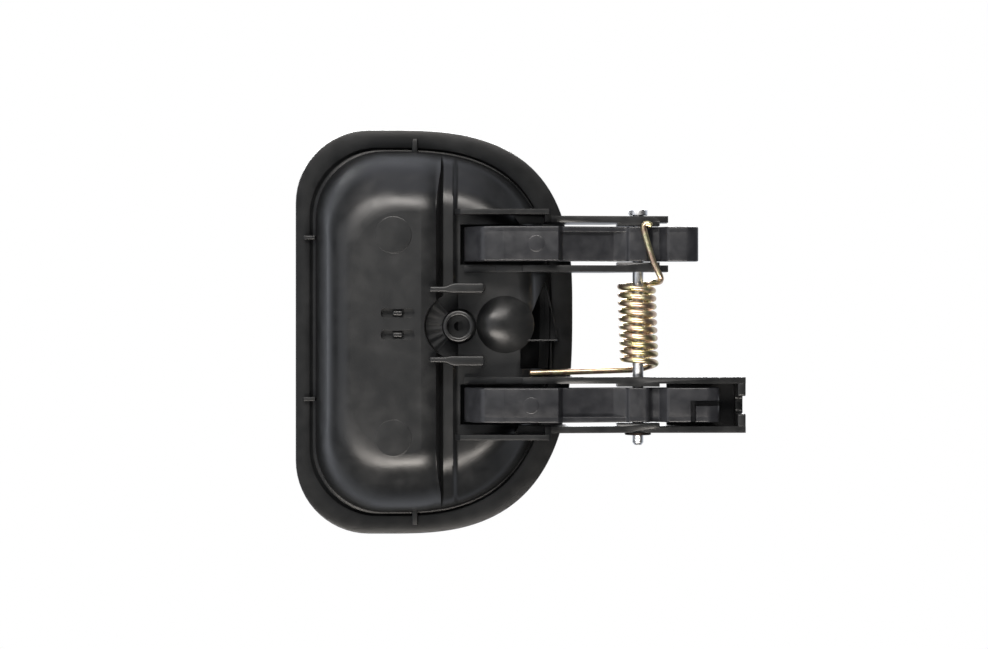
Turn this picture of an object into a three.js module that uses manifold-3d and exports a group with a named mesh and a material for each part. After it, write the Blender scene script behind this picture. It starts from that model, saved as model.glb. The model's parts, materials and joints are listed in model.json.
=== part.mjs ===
// Pull-flap door handle: a moulded escutcheon with a finger cup, a flap on two goosenecked arms,
// a pivot pin in four cheeks and a torsion spring that closes the flap.
// Millimetres. +X runs from the finger cup to the pivot, +Y points out of the door, +Z is up along
// the pivot. The origin is the middle of the escutcheon in the plane where its rim meets the door skin.

import * as THREE from "three";
import { mergeVertices } from "three/addons/utils/BufferGeometryUtils.js";
import Module from "manifold-3d";

const wasm = await Module();
wasm.setup();

// ---------------------------------------------------------------- driving dimensions

const contactGap = 0.3; // left between pieces that touch

// escutcheon outline, seen along Y: rounded corners on the cup side, a full curve on the flap side
const bezelLeft = -41.4;
const bezelRight = 41.7;
const bezelTop = 58.4;
const bezelBottom = -62.8;
const crownX = -13.6; // where the top and bottom edges are level
const widestZ = 4.4; // where the right edge stands furthest out
const fullness = 2.85; // superellipse exponent of the right half
const cornerRadius = 22;
const cornerTightening = 0.3; // how fast the corners tighten as the outline moves in

const rimThickness = 3.2;
const rimEdge = 1.2; // straight part of the rim's outer edge
const rimRound = 2.4; // how far the rim's front edge is rounded over
const wall = 2.2; // moulded wall of the pan

// the pan behind the rim: a deep finger cup and a shallower pocket under the flap
const panInset = 6.0; // outline edge to the foot of the pan's outer wall
const cupDepth = 21;
const cupSideRun = 8; // how far the cup's side wall runs in before it is level
const cupEndRun = 20;
const pocketDepth = 13;
const pocketSideRun = 9;
const pocketEndRun = 19;
const seamX = 1.2; // step between cup and pocket, at the cup's floor
const seamDraft = 0.15;

// hinge
const pivotX = 60.4;
const pivotY = -15;
const pinRadius = 1.6;
const pinClearance = 0.08;
const pinHeadRadius = 2.8;
const pinHeadHeight = 1.7;
const pinTail = 3.6; // pin showing below the lowest cheek
const barrelRadius = 3.8;
const bearingFront = 4.6; // cheek plate left in front of the pin's axis

// arms and their channels; the lower ones mirror the upper ones about Z = 0
const armCentreZ = 23.55;
const armWidth = 10.1;
const cheekGap = 1.2; // arm side to cheek
const cheekThickness = 1.9;
const padHalf = 6.2; // half the length of the bearing pad on each cheek
const padClearance = 0.3;
const armRibWidth = 1.7;
const armRecess = 1.3;
const armRootX = 9.4;
const armRootThickness = 6.4;
const armTopY = -23.8; // the gooseneck's back, furthest into the door
const gooseneckEndX = 36.9;
const upperTail = 17.7; // tails past the pin's axis
const lowerTail = 23.9;
const grooveWidth = 1.6; // for the cable's inner wire
const grooveStart = 8.7; // from the lower tail's end

// cheeks
const skinSlot = 2.5; // room for the door skin between the rim and the cheeks
const wallJog = 1.95; // the pan-side wall stands this much further out than the cheek plate
const upperWallThickness = 1.5;
const channelLead = 2.6; // channel walls start this far before the arm's root
const upperCheekReach = 8.7; // cheeks past the pin's axis
const lowerCheekReach = 31.4;
const cheekBack = 3.0; // cheek plate left behind the pin's axis
const channelBackY = -21.6; // wall edge over the pan
const longCheekFrontY = -5;
const endWallThickness = 2.3;
const webThickness = 1.8;
const notchWidth = 5.2;
const notchFloorY = -9;

// windows in the pan
const windowEndClearance = 1.2; // before the arm's root
const windowClearance = 0.9; // beside each arm and before the gooseneck's end
const rimWeb = 0.5; // rim left in front of the windows

// screw boss, scallop, fins and dome
const bossX = 7.8;
const bossZ = -0.5;
const bossRadius = 4.5;
const bossBore = 3.3;
const bossTopY = -20;
const scallopRadius = 10;
const finZ = 10.6;
const finThin = 1.6;
const finThick = 2.9;
const domeX = 21.4;
const domeRadius = 8.4;
const domeHeight = 4.6;
const bossScrewRadius = 1.4;
const bossSeatDepth = 5.1;

// flap
const flapGap = 1.2; // round the flap, in the rim
const flapLedge = 1.5; // seat under the flap's edge
const flapSeatInset = 6.6;
const flapOverCup = 0.6; // the flap's grip edge stands this far past the seam
const flapBackY = 2.0;
const flapFrontY = 6.2;
const flapWall = 2.2;
const lipDepth = 4.5;
const cavityBevel = 1.2; // slope round the flap's inner corner

// spring
const wireRadius = 0.9;
const coilRadius = 4.8;
const coilTurns = 9;
const coilEndRoom = 4.9; // between the coil's last whole turn and each inner cheek
const restLegX = 28.9; // end of the leg that rests on the housing
const wireSides = 6;

const stopRadius = 3.2;
const stopX = 13;
const stopEdgeRoom = 5; // from the flap's inner wall to the middle of each stop
const ribThickness = 0.9;
const ribX = -6.0; // ribs behind the top and bottom of the rim
const ribUpperZ = 25.6; // ribs behind the cup side of the rim
const ribLowerZ = -22.8;
const circleSteps = 24;

// ---------------------------------------------------------------- worked-out places

const armInner = armCentreZ - armWidth / 2;
const armOuter = armCentreZ + armWidth / 2;
const cheekInnerFace = armInner - cheekGap;
const cheekOuterFace = armOuter + cheekGap;
const cheekOuterBack = cheekOuterFace + cheekThickness;
const holeRadius = pinRadius + pinClearance;
const cavityRoofY = flapFrontY - flapWall;
const panWallFoot = -0.5 * pocketDepth; // channel walls start inside the pan's skin and are cut by it
const channelLeft = armRootX - channelLead;
const jogX = gooseneckEndX - 2.7;
const cheekStartX = jogX - 1.2;
const upperCheekEnd = pivotX + upperCheekReach;
const lowerCheekEnd = pivotX + lowerCheekReach;
const upperTailX = pivotX + upperTail;
const lowerTailX = pivotX + lowerTail;
const cheekBackY = pivotY - cheekBack;
const cheekFrontY = pivotY + bearingFront;
const flapLeft = seamX + flapOverCup;
const coilLength = 2 * (cheekInnerFace - cheekThickness - coilEndRoom);
const coilPitch = coilLength / coilTurns;
const springBackY = cheekBackY - wireRadius - 0.45; // the upper leg's line over the arm

// ---------------------------------------------------------------- solids

const solidOf = (geometry) => {
  const bare = geometry.index ? geometry.toNonIndexed() : geometry.clone();
  bare.deleteAttribute("normal");
  bare.deleteAttribute("uv");
  const merged = mergeVertices(bare, 1e-4);
  return new wasm.Manifold(
    new wasm.Mesh({
      numProp: 3,
      vertProperties: merged.attributes.position.array,
      triVerts: new Uint32Array(merged.index.array),
    }),
  );
};

const meshOf = (name, solid, material) => {
  const made = solid.getMesh();
  const geometry = new THREE.BufferGeometry();
  geometry.setAttribute("position", new THREE.BufferAttribute(made.vertProperties, 3));
  geometry.setIndex(new THREE.BufferAttribute(made.triVerts, 1));
  geometry.computeVertexNormals();
  const mesh = new THREE.Mesh(geometry, material);
  mesh.name = name;
  return mesh;
};

const boxFrom = ([x0, y0, z0], [x1, y1, z1]) => {
  const box = new THREE.BoxGeometry(x1 - x0, y1 - y0, z1 - z0);
  box.translate((x0 + x1) / 2, (y0 + y1) / 2, (z0 + z1) / 2);
  return solidOf(box);
};

// A profile drawn in X and Y, extruded along Z between two heights.
const slabAlongZ = (points, z0, z1) => {
  const shape = new THREE.Shape(points.map(([x, y]) => new THREE.Vector2(x, y)));
  const slab = new THREE.ExtrudeGeometry(shape, { depth: z1 - z0, bevelEnabled: false });
  slab.translate(0, 0, z0);
  return solidOf(slab);
};

// A profile drawn in X and Z, extruded along Y between two depths.
const slabAlongY = (points, y0, y1) => {
  const shape = new THREE.Shape(points.map(([x, z]) => new THREE.Vector2(x, z)));
  const slab = new THREE.ExtrudeGeometry(shape, { depth: y1 - y0, bevelEnabled: false });
  slab.rotateX(Math.PI / 2); // the drawing's depth becomes -Y and its second axis +Z
  slab.translate(0, y1, 0);
  return solidOf(slab);
};

// A round piece along Z at a place in X and Y.
const roundAlongZ = (radius, x, y, z0, z1) => {
  const round = new THREE.CylinderGeometry(radius, radius, z1 - z0, circleSteps);
  round.rotateX(Math.PI / 2);
  round.translate(x, y, (z0 + z1) / 2);
  return solidOf(round);
};

// A round piece along Y at a place in X and Z.
const roundAlongY = (radius, x, z, y0, y1) => {
  const round = new THREE.CylinderGeometry(radius, radius, y1 - y0, circleSteps);
  round.translate(x, (y0 + y1) / 2, z);
  return solidOf(round);
};

// ---------------------------------------------------------------- escutcheon outline and lofts

// The outline moved in by a different amount at the cup side, at the ends and at the flap side.
const outline = (side, ends, flapSide) => {
  const points = [];
  const left = bezelLeft + side;
  const top = bezelTop - ends;
  const bottom = bezelBottom + ends;
  const halfWidth = bezelRight - flapSide - crownX;
  const corner = Math.max(5, cornerRadius - cornerTightening * (side + ends));
  const rightSteps = 22;
  const cornerSteps = 6;
  for (let i = 0; i <= rightSteps; i++) {
    const angle = -Math.PI / 2 + (Math.PI * i) / rightSteps;
    const across = Math.abs(Math.cos(angle)) ** (2 / fullness);
    const up = Math.abs(Math.sin(angle)) ** (2 / fullness);
    const reach = angle > 0 ? top - widestZ : bottom - widestZ;
    points.push([crownX + halfWidth * across, widestZ + reach * up]);
  }
  for (let i = 0; i <= cornerSteps; i++) {
    const angle = (Math.PI / 2) * (1 + i / cornerSteps);
    points.push([left + corner + corner * Math.cos(angle), top - corner + corner * Math.sin(angle)]);
  }
  for (let i = 0; i <= cornerSteps; i++) {
    const angle = Math.PI * (1 + i / cornerSteps / 2);
    points.push([left + corner + corner * Math.cos(angle), bottom + corner + corner * Math.sin(angle)]);
  }
  return points;
};

// A closed solid through rings of equal length, with flat ends.
const loft = (rings) => {
  const count = rings[0].points.length;
  const vertices = rings.flatMap(({ points, y }) => points.flatMap(([x, z]) => [x, y, z]));
  const faces = [];
  for (let r = 0; r + 1 < rings.length; r++)
    for (let i = 0; i < count; i++) {
      const a = r * count + i;
      const b = r * count + ((i + 1) % count);
      faces.push(a, b, b + count, a, b + count, a + count);
    }
  const last = (rings.length - 1) * count;
  for (let i = 1; i + 1 < count; i++) {
    faces.push(0, i + 1, i);
    faces.push(last, last + i, last + i + 1);
  }
  if (rings[0].y < rings.at(-1).y)
    for (let i = 0; i < faces.length; i += 3) [faces[i + 1], faces[i + 2]] = [faces[i + 2], faces[i + 1]];
  const geometry = new THREE.BufferGeometry();
  geometry.setAttribute("position", new THREE.Float32BufferAttribute(vertices, 3));
  geometry.setIndex(faces);
  return solidOf(geometry);
};

// A basin behind the rim whose wall is a quarter ellipse from the rim to the level floor.
// grow moves its whole skin outwards, and a negative grow gives the hollow inside it.
const basin = (depth, sideRun, endRun, flapSideRun, grow) => {
  const steps = 6;
  const mouth = grow < 0 ? 10 : 0.5;
  const foot = panInset - grow;
  const rings = [{ points: outline(foot, foot, foot), y: mouth }];
  for (let i = 0; i <= steps; i++) {
    const angle = (Math.PI / 2) * (i / steps);
    const run = 1 - Math.cos(angle);
    rings.push({
      points: outline(foot + sideRun * run, foot + endRun * run, foot + flapSideRun * run),
      y: -(depth + grow) * Math.sin(angle),
    });
  }
  return loft(rings);
};

const seamAt = (y, grow) => seamX + grow + seamDraft * (y + cupDepth);

// Everything on the cup's side of the drafted step.
const cupSide = (grow) =>
  slabAlongZ([[-90, -60], [seamAt(-60, grow), -60], [seamAt(20, grow), 20], [-90, 20]], -90, 90);

const panSkin = (grow) => {
  const cup = basin(cupDepth, cupSideRun, cupEndRun, pocketSideRun, grow)
    .intersect(cupSide(grow))
    .subtract(roundAlongY(scallopRadius - grow, bossX, bossZ, -60, -pocketDepth - grow));
  const pocket = basin(pocketDepth, cupSideRun, pocketEndRun, pocketSideRun, grow);
  const ball = new THREE.SphereGeometry(domeRadius + grow, 20, 12);
  ball.translate(domeX, -pocketDepth - domeHeight + domeRadius, 0);
  return cup.add(pocket).add(solidOf(ball));
};

const escutcheonPan = () => {
  const rim = loft([
    { points: outline(0, 0, 0), y: 0 },
    { points: outline(0, 0, 0), y: rimEdge },
    { points: outline(rimRound / 3, rimRound / 3, rimRound / 3), y: 0.8 * rimThickness },
    { points: outline(rimRound, rimRound, rimRound), y: rimThickness },
  ]);
  const seat = flapSeatInset;
  const flapSeat = loft([
    { points: outline(seat, seat, seat), y: flapLedge },
    { points: outline(seat, seat, seat - 2.2), y: rimThickness + 1 },
  ]).intersect(boxFrom([flapLeft - flapGap, 0, -90], [90, 20, 90]));
  let pan = rim.add(panSkin(0)).subtract(panSkin(-wall)).subtract(flapSeat);
  const z0 = armInner - windowClearance;
  const z1 = armOuter + windowClearance;
  const x0 = armRootX - windowEndClearance;
  const x1 = gooseneckEndX - windowClearance;
  for (const [low, high] of [[z0, z1], [-z1, -z0]])
    pan = pan.subtract(boxFrom([x0, -60, low], [x1, -rimWeb, high]));
  return pan.subtract(latchWindow());
};

// The stepped opening between the channels, under the flap.
const latchWindow = () => {
  const left = domeX + domeRadius - 3.9;
  const right = left + 11.4;
  const topZ = cheekInnerFace - cheekThickness - 2.1;
  const stepZ = -4.6;
  const bottomZ = -(cheekInnerFace - cheekThickness) + 2.3;
  const points = [
    [left + 7.5, topZ],
    [left + 5.5, topZ - 4.9],
    [left, stepZ],
    [left, bottomZ],
    [right - 2.1, bottomZ],
    [right - 2.1, stepZ],
    [right, stepZ],
  ];
  return slabAlongY(points, -60, flapLedge - 0.5);
};

// ---------------------------------------------------------------- channels

// One cheek plate with its bearing pad and pin hole. side is +1 for a cheek outside its arm, -1 inside.
const cheek = (side, endX) => {
  const face = side > 0 ? cheekOuterFace : cheekInnerFace - cheekThickness;
  const longFront = [
    [pivotX + 5, cheekFrontY],
    [pivotX + 8, longCheekFrontY],
    [endX, longCheekFrontY],
  ];
  const plate = [
    [cheekStartX, panWallFoot],
    [cheekStartX + 3, -skinSlot],
    [pivotX - 9, -skinSlot],
    [pivotX + 3, cheekFrontY],
    ...(endX === lowerCheekEnd ? longFront : [[endX, cheekFrontY]]),
    [endX, cheekBackY + 0.4],
    [pivotX + 4, cheekBackY],
    [pivotX - 4, cheekBackY],
    [gooseneckEndX + 2, channelBackY + 1.6],
    [cheekStartX, channelBackY + 1.2],
  ];
  const pad = cheekGap - padClearance;
  const padLow = side > 0 ? face - pad : face + cheekThickness - 0.5;
  const padHigh = padLow + pad + 0.5;
  const padBox = boxFrom([pivotX - padHalf, cheekBackY, padLow], [pivotX + padHalf, cheekFrontY, padHigh]);
  let made = slabAlongZ(plate, face, face + cheekThickness).add(padBox);
  if (side > 0) made = made.add(panSideWall(face)).add(jog(face));
  else made = made.add(lowWall(face));
  return made.subtract(roundAlongZ(holeRadius, pivotX, pivotY, 0, 60));
};

// The wall of the channel over the pan, a jog outside the cheek plate.
const panSideWall = (face) => {
  const corner = 1.6;
  return slabAlongZ(
    [
      [channelLeft, panWallFoot],
      [jogX, panWallFoot],
      [jogX, channelBackY],
      [channelLeft + corner, channelBackY],
      [channelLeft, channelBackY + corner],
    ],
    face + cheekThickness + wallJog - upperWallThickness,
    face + cheekThickness + wallJog,
  );
};

const jog = (face) =>
  slabAlongZ(
    [
      [cheekStartX, panWallFoot],
      [jogX + 0.6, panWallFoot],
      [jogX + 0.6, channelBackY + 1.2],
      [cheekStartX, channelBackY],
    ],
    face,
    face + cheekThickness + wallJog,
  );

// The inner cheek runs down in two steps to a low kerb beside the window.
const lowWall = (face) => {
  const highStep = jogX - 7.6;
  const lowStep = jogX - 15.4;
  const points = [
    [armRootX, panWallFoot],
    [jogX, panWallFoot],
    [jogX, channelBackY + 1.2],
    [highStep, channelBackY + 1.2],
    [highStep, -pocketDepth - 3.4],
    [lowStep, -pocketDepth - 2.6],
    [lowStep, -pocketDepth - 1.3],
    [armRootX, -pocketDepth - 1.3],
  ];
  return slabAlongZ(points, face, face + cheekThickness);
};

const mirrored = (solid) => solid.mirror([0, 0, 1]);

// Cut back to stand on the pan's skin.
const onPan = (solid) => solid.subtract(panSkin(contactGap));

// The web that joins the long cheeks behind the arm's tail.
const lowerChannelWeb = () => {
  const front = longCheekFrontY - contactGap;
  const end = lowerCheekEnd - endWallThickness - contactGap;
  return boxFrom(
    [pivotX + 9, front - webThickness, -cheekOuterFace + contactGap],
    [end, front, -cheekInnerFace - contactGap],
  );
};

// The wall at the end of the lower channel, with the notch that the pull cable drops into.
const cableEndWall = () => {
  const z0 = -cheekOuterFace + contactGap;
  const z1 = -cheekInnerFace - contactGap;
  const middle = (z0 + z1) / 2;
  const half = notchWidth / 2;
  const x0 = lowerCheekEnd - endWallThickness;
  const wallSolid = boxFrom([x0, cheekBackY + 0.4, z0], [lowerCheekEnd, longCheekFrontY, z1]);
  const past = 1;
  const notch = boxFrom(
    [x0 - past, cheekBackY - past, middle - half],
    [lowerCheekEnd + past, notchFloorY, middle + half],
  );
  return wallSolid.subtract(notch);
};

// ---------------------------------------------------------------- boss, fins, ribs and stops

const screwBoss = () => {
  const floor = -pocketDepth - contactGap;
  const seat = bossTopY + bossSeatDepth;
  const profile = [
    [bossScrewRadius, floor],
    [bossRadius + 0.3, floor],
    [bossRadius, bossTopY],
    [bossBore, bossTopY],
    [bossBore, seat],
    [bossScrewRadius, seat],
    [bossScrewRadius, floor],
  ].map(([r, y]) => new THREE.Vector2(r, y));
  const boss = new THREE.LatheGeometry(profile.reverse(), circleSteps);
  boss.translate(bossX, 0, bossZ);
  return solidOf(boss);
};

const guideFin = () => {
  const backY = -cupDepth - 1.3;
  const thinEnd = 3.9;
  const finEnd = 15.4;
  const slab = (x0, x1, width) =>
    slabAlongZ(
      [[x0, -pocketDepth], [x1, -pocketDepth], [x1, backY + 1.5], [x1 - 1.5, backY], [x0, backY]],
      finZ - width / 2,
      finZ + width / 2,
    );
  return slab(-0.6, thinEnd, finThin).add(slab(thinEnd - 0.5, finEnd, finThick));
};

// A short rib across the corner between the rim and the pan's wall.
const rimRib = ([x0, x1], [z0, z1]) => onPan(boxFrom([x0, -1.6, z0], [x1, -contactGap, z1]));

// The height of the outline's right half at a place in X, moved in by inset. up is +1 or -1.
const edgeHeight = (x, inset, up) => {
  const reach = up > 0 ? bezelTop - inset - widestZ : bezelBottom + inset - widestZ;
  const share = (x - crownX) / (bezelRight - inset - crownX);
  return widestZ + reach * (1 - share ** fullness) ** (1 / fullness);
};

// A rubber stud on the pocket's floor that the closed flap rests on.
const flapStop = (up) => {
  const x = stopX;
  const z = edgeHeight(x, flapSeatInset + flapGap + flapWall, up) - up * stopEdgeRoom;
  const top = cavityRoofY - cavityBevel - contactGap;
  const stud = new THREE.CylinderGeometry(stopRadius, stopRadius + 0.8, 30, circleSteps);
  stud.translate(x, top - 15, z);
  return solidOf(stud).intersect(panSkin(-wall - contactGap));
};

// ---------------------------------------------------------------- pin, retainer and spring

const pivotPin = () => {
  const top = cheekOuterBack + contactGap + pinHeadHeight;
  const bottom = -cheekOuterBack - pinTail;
  const profile = [
    [0, bottom],
    [pinRadius - 0.5, bottom],
    [pinRadius, bottom + 0.6],
    [pinRadius, top - pinHeadHeight],
    [pinHeadRadius, top - pinHeadHeight],
    [pinHeadRadius, top - 0.5],
    [pinHeadRadius - 0.5, top],
    [0, top],
  ].map(([r, y]) => new THREE.Vector2(r, y));
  const pin = new THREE.LatheGeometry(profile, circleSteps);
  pin.rotateX(Math.PI / 2);
  pin.translate(pivotX, pivotY, 0);
  return solidOf(pin);
};

const pinRetainer = () => {
  const top = -cheekOuterBack - 0.1;
  const thickness = 0.6;
  return roundAlongZ(pinRadius + 2.3, pivotX, pivotY, top - thickness, top)
    .subtract(roundAlongZ(holeRadius, pivotX, pivotY, top - 5, top + 5));
};

// The wire's centre line: the rest leg, the coil from bottom to top, then the leg over the upper arm.
const springLine = () => {
  const points = [];
  const bottom = -coilLength / 2;
  const restZ = bottom - coilPitch - 0.9;
  points.push([restLegX, -pocketDepth - wireRadius - 0.4, restZ]);
  points.push([restLegX + 8.1, -pocketDepth + 0.2, restZ + 0.1]);
  points.push([pivotX - 8.4, pivotY + coilRadius - 0.4, restZ + 0.4]);
  const perTurn = 12;
  const turns = coilTurns + 1.25;
  for (let i = 0; i <= turns * perTurn; i++) {
    const share = i / perTurn;
    const angle = Math.PI / 2 - share * 2 * Math.PI;
    points.push([
      pivotX + coilRadius * Math.cos(angle),
      pivotY + coilRadius * Math.sin(angle),
      bottom - coilPitch / 2 + coilPitch * share,
    ]);
  }
  return points;
};

const returnSpring = () => {
  const line = springLine();
  const topZ = line.at(-1)[2];
  line.push([pivotX + 6.2, springBackY + 1.6, topZ + 0.3]);
  line.push([pivotX + 6.2, springBackY + 0.3, topZ + 1.2]);
  line.push([pivotX + 5.8, springBackY, topZ + 3]);
  line.push([pivotX + 4.4, springBackY, armCentreZ]);
  line.push([pivotX + 3.4, springBackY, armOuter - 0.9]);
  line.push([pivotX + 4.0, springBackY + 0.1, armOuter + 0.2]);
  const curve = new THREE.CatmullRomCurve3(
    line.map(([x, y, z]) => new THREE.Vector3(x, y, z)),
    false,
    "centripetal",
  );
  const circle = [];
  for (let i = 0; i < wireSides; i++) {
    const angle = (2 * Math.PI * i) / wireSides;
    circle.push(new THREE.Vector2(wireRadius * Math.cos(angle), wireRadius * Math.sin(angle)));
  }
  return solidOf(
    new THREE.ExtrudeGeometry(new THREE.Shape(circle), {
      steps: 190,
      extrudePath: curve,
      bevelEnabled: false,
    }),
  );
};

// ---------------------------------------------------------------- lever

// One arm's side view: root, gooseneck, barrel round the pin and tail.
const armProfile = (tailX, recess) => {
  const root = armRootX;
  const top = cavityRoofY - contactGap;
  const back = armTopY;
  const underneath = back + armRootThickness + 0.4;
  const barrelBack = pivotY - barrelRadius;
  const barrelFront = pivotY + barrelRadius;
  return [
    [root, top],
    [root, back + 6],
    [root + 0.8, back + 3.4],
    [root + 2.6, back + 1.3],
    [root + 5.4, back + 0.3],
    [root + 11, back],
    [root + 18, back + 0.1],
    [gooseneckEndX, back + 1.0],
    [gooseneckEndX + 0.8, back + 2.6 + recess],
    [pivotX - barrelRadius - 2.6, barrelBack + 0.4 + recess],
    [pivotX - 2.4, barrelBack + 0.9],
    [pivotX, barrelBack],
    [pivotX + 2.6, barrelBack + 1.0],
    [pivotX + 3.8, pivotY - 1.0],
    [pivotX + 6.0, pivotY - 0.9],
    [pivotX + 9.0, barrelBack + 1.2],
    [pivotX + 12.6, barrelBack + 0.3],
    [tailX - 2.4, barrelBack + 0.9],
    [tailX - 0.5, barrelBack + 2.4],
    [tailX, pivotY + 0.6],
    [tailX, pivotY + 3.0],
    [tailX - 1.2, barrelFront],
    [pivotX + 1.5, barrelFront],
    [pivotX - 4, barrelFront - 0.6],
    [gooseneckEndX + 7.1, underneath + 2.4],
    [gooseneckEndX - 2.9, underneath + 0.2],
    [root + armRootThickness + 4, underneath],
    [root + armRootThickness + 1.2, underneath + 1.2],
    [root + armRootThickness, underneath + 3.6],
    [root + armRootThickness, top],
  ];
};

const leverArm = (tailX) =>
  slabAlongZ(armProfile(tailX, armRecess), armInner, armOuter)
    .add(slabAlongZ(armProfile(tailX, 0), armOuter - armRibWidth, armOuter))
    .subtract(roundAlongZ(holeRadius, pivotX, pivotY, 0, 60));

// The lower arm's tail has an L-shaped groove that holds the cable's barrel nipple.
const nippleGroove = () => {
  const start = lowerTailX - grooveStart;
  const low = armCentreZ - 1.3;
  const floorY = pivotY + 1.2;
  return boxFrom([start, -60, low], [start + grooveWidth, floorY, armOuter + 5])
    .add(boxFrom([start, -60, low], [lowerTailX + 5, floorY, low + grooveWidth]));
};

const pullFlap = () => {
  const edge = flapSeatInset + flapGap;
  const dome = flapFrontY - flapBackY;
  const ring = (inset, y) => ({ points: outline(inset, inset, inset), y });
  const skin = loft([
    ring(edge, flapBackY),
    ring(edge, flapBackY + 0.25 * dome),
    ring(edge + 1.2, flapBackY + 0.55 * dome),
    ring(edge + 4.5, flapBackY + 0.8 * dome),
    ring(edge + 10, flapBackY + 0.95 * dome),
    ring(edge + 17, flapFrontY),
  ]).intersect(boxFrom([flapLeft, -10, -90], [90, 20, 90]));
  const cavity = loft([
    ring(edge + flapWall, -20),
    ring(edge + flapWall, cavityRoofY - cavityBevel),
    ring(edge + flapWall + 6, cavityRoofY),
  ]).intersect(boxFrom([flapLeft + flapWall, -20, -90], [90, 20, 90]));
  const lip = loft([
    ring(edge, -lipDepth + flapBackY),
    ring(edge, flapBackY + 1),
  ]).intersect(
    slabAlongZ(
      [
        [flapLeft, flapBackY + 1],
        [flapLeft, flapBackY - lipDepth + 1],
        [flapLeft + 0.8, flapBackY - lipDepth],
        [flapLeft + flapWall, flapBackY - lipDepth],
        [flapLeft + flapWall, flapBackY + 1],
      ],
      bezelBottom + 20,
      bezelTop - 20,
    ),
  );
  return skin.subtract(cavity).add(lip);
};

// ---------------------------------------------------------------- materials and assembly

const blackMoulding = new THREE.MeshStandardMaterial({ color: 0x1b1c1e, roughness: 0.42, metalness: 0 });
const greyBlackNylon = new THREE.MeshStandardMaterial({ color: 0x232427, roughness: 0.36, metalness: 0 });
const zincSteel = new THREE.MeshStandardMaterial({ color: 0xb9bdc2, roughness: 0.3, metalness: 1 });
const yellowZinc = new THREE.MeshStandardMaterial({ color: 0xb99a52, roughness: 0.28, metalness: 1 });
const springSteel = new THREE.MeshStandardMaterial({ color: 0x2c2523, roughness: 0.5, metalness: 1 });
const rubber = new THREE.MeshStandardMaterial({ color: 0x121212, roughness: 0.8, metalness: 0 });

const handle = new THREE.Group();

const housing = new THREE.Group();
housing.add(
  meshOf("escutcheon_pan", escutcheonPan(), blackMoulding),
  meshOf("upper_outer_cheek", onPan(cheek(1, upperCheekEnd)), blackMoulding),
  meshOf("upper_inner_cheek", onPan(cheek(-1, upperCheekEnd)), blackMoulding),
  meshOf("lower_outer_cheek", onPan(mirrored(cheek(1, lowerCheekEnd))), blackMoulding),
  meshOf("lower_inner_cheek", onPan(mirrored(cheek(-1, lowerCheekEnd))), blackMoulding),
  meshOf("lower_channel_web", lowerChannelWeb(), blackMoulding),
  meshOf("cable_end_wall", cableEndWall(), blackMoulding),
  meshOf("screw_boss", screwBoss(), blackMoulding),
  meshOf("upper_guide_fin", onPan(guideFin()), blackMoulding),
  meshOf("lower_guide_fin", onPan(mirrored(guideFin())), blackMoulding),
);

const sideSpan = [bezelLeft + 2.8, bezelLeft + 6.8];
const topSpan = [bezelTop - 7, bezelTop - 3.6];
const bottomSpan = [bezelBottom + 3.6, bezelBottom + 7];
const ribAt = (start) => [start, start + ribThickness];
housing.add(
  meshOf("rim_rib_left_upper", rimRib(sideSpan, ribAt(ribUpperZ)), blackMoulding),
  meshOf("rim_rib_left_lower", rimRib(sideSpan, ribAt(ribLowerZ)), blackMoulding),
  meshOf("rim_rib_top", rimRib(ribAt(ribX), topSpan), blackMoulding),
  meshOf("rim_rib_bottom", rimRib(ribAt(ribX), bottomSpan), blackMoulding),
  meshOf("flap_stop_upper", flapStop(1), rubber),
  meshOf("flap_stop_lower", flapStop(-1), rubber),
  meshOf("pivot_pin", pivotPin(), zincSteel),
  meshOf("pin_retainer", pinRetainer(), springSteel),
  meshOf("return_spring", returnSpring(), yellowZinc),
);

const lever = new THREE.Group();
lever.add(
  meshOf("pull_flap", pullFlap(), blackMoulding),
  meshOf("upper_lever_arm", leverArm(upperTailX), greyBlackNylon),
  meshOf("lower_lever_arm", mirrored(leverArm(lowerTailX).subtract(nippleGroove())), greyBlackNylon),
);

handle.add(housing, lever);

export default handle;
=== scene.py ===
# %% [markdown]
# # A pull-flap door handle, seen from inside the door
# The handle has a deep finger cup, a flap on two gooseneck arms, and a torsion spring on a steel pin.
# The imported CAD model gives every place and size. Blender adds moulded edges, drawn wire and finishes.

# %% Load the frame
import json
import math
import bpy
import bmesh
import numpy as np
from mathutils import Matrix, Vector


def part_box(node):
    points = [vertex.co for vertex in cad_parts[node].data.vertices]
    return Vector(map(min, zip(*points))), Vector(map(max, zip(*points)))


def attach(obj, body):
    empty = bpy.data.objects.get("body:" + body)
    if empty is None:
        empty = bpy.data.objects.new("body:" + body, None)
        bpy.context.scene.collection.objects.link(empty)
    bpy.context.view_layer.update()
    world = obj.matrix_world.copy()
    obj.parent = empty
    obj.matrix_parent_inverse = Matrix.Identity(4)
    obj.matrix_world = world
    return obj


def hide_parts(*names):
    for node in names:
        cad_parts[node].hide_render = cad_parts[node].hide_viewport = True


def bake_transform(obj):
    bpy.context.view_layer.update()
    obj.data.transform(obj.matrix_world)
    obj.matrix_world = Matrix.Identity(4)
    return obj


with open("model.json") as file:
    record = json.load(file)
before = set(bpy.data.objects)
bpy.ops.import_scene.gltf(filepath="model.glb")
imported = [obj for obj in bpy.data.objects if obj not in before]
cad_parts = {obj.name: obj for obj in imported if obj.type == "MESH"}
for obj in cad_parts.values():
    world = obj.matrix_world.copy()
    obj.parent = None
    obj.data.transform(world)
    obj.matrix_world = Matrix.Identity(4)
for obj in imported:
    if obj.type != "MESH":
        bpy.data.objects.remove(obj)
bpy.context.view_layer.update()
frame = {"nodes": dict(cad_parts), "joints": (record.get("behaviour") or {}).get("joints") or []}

MM = 0.001
scene = bpy.context.scene

# %% [markdown]
# Sizes are read from the frame wherever a CAD node already holds them, so a piece goes where the CAD says.
# `span` returns a node's lowest and highest corners in millimetres, as numpy arrays.

# %% Sizes from the frame
def span(name):
    low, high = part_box(name)
    return np.array(low) / MM, np.array(high) / MM


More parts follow.
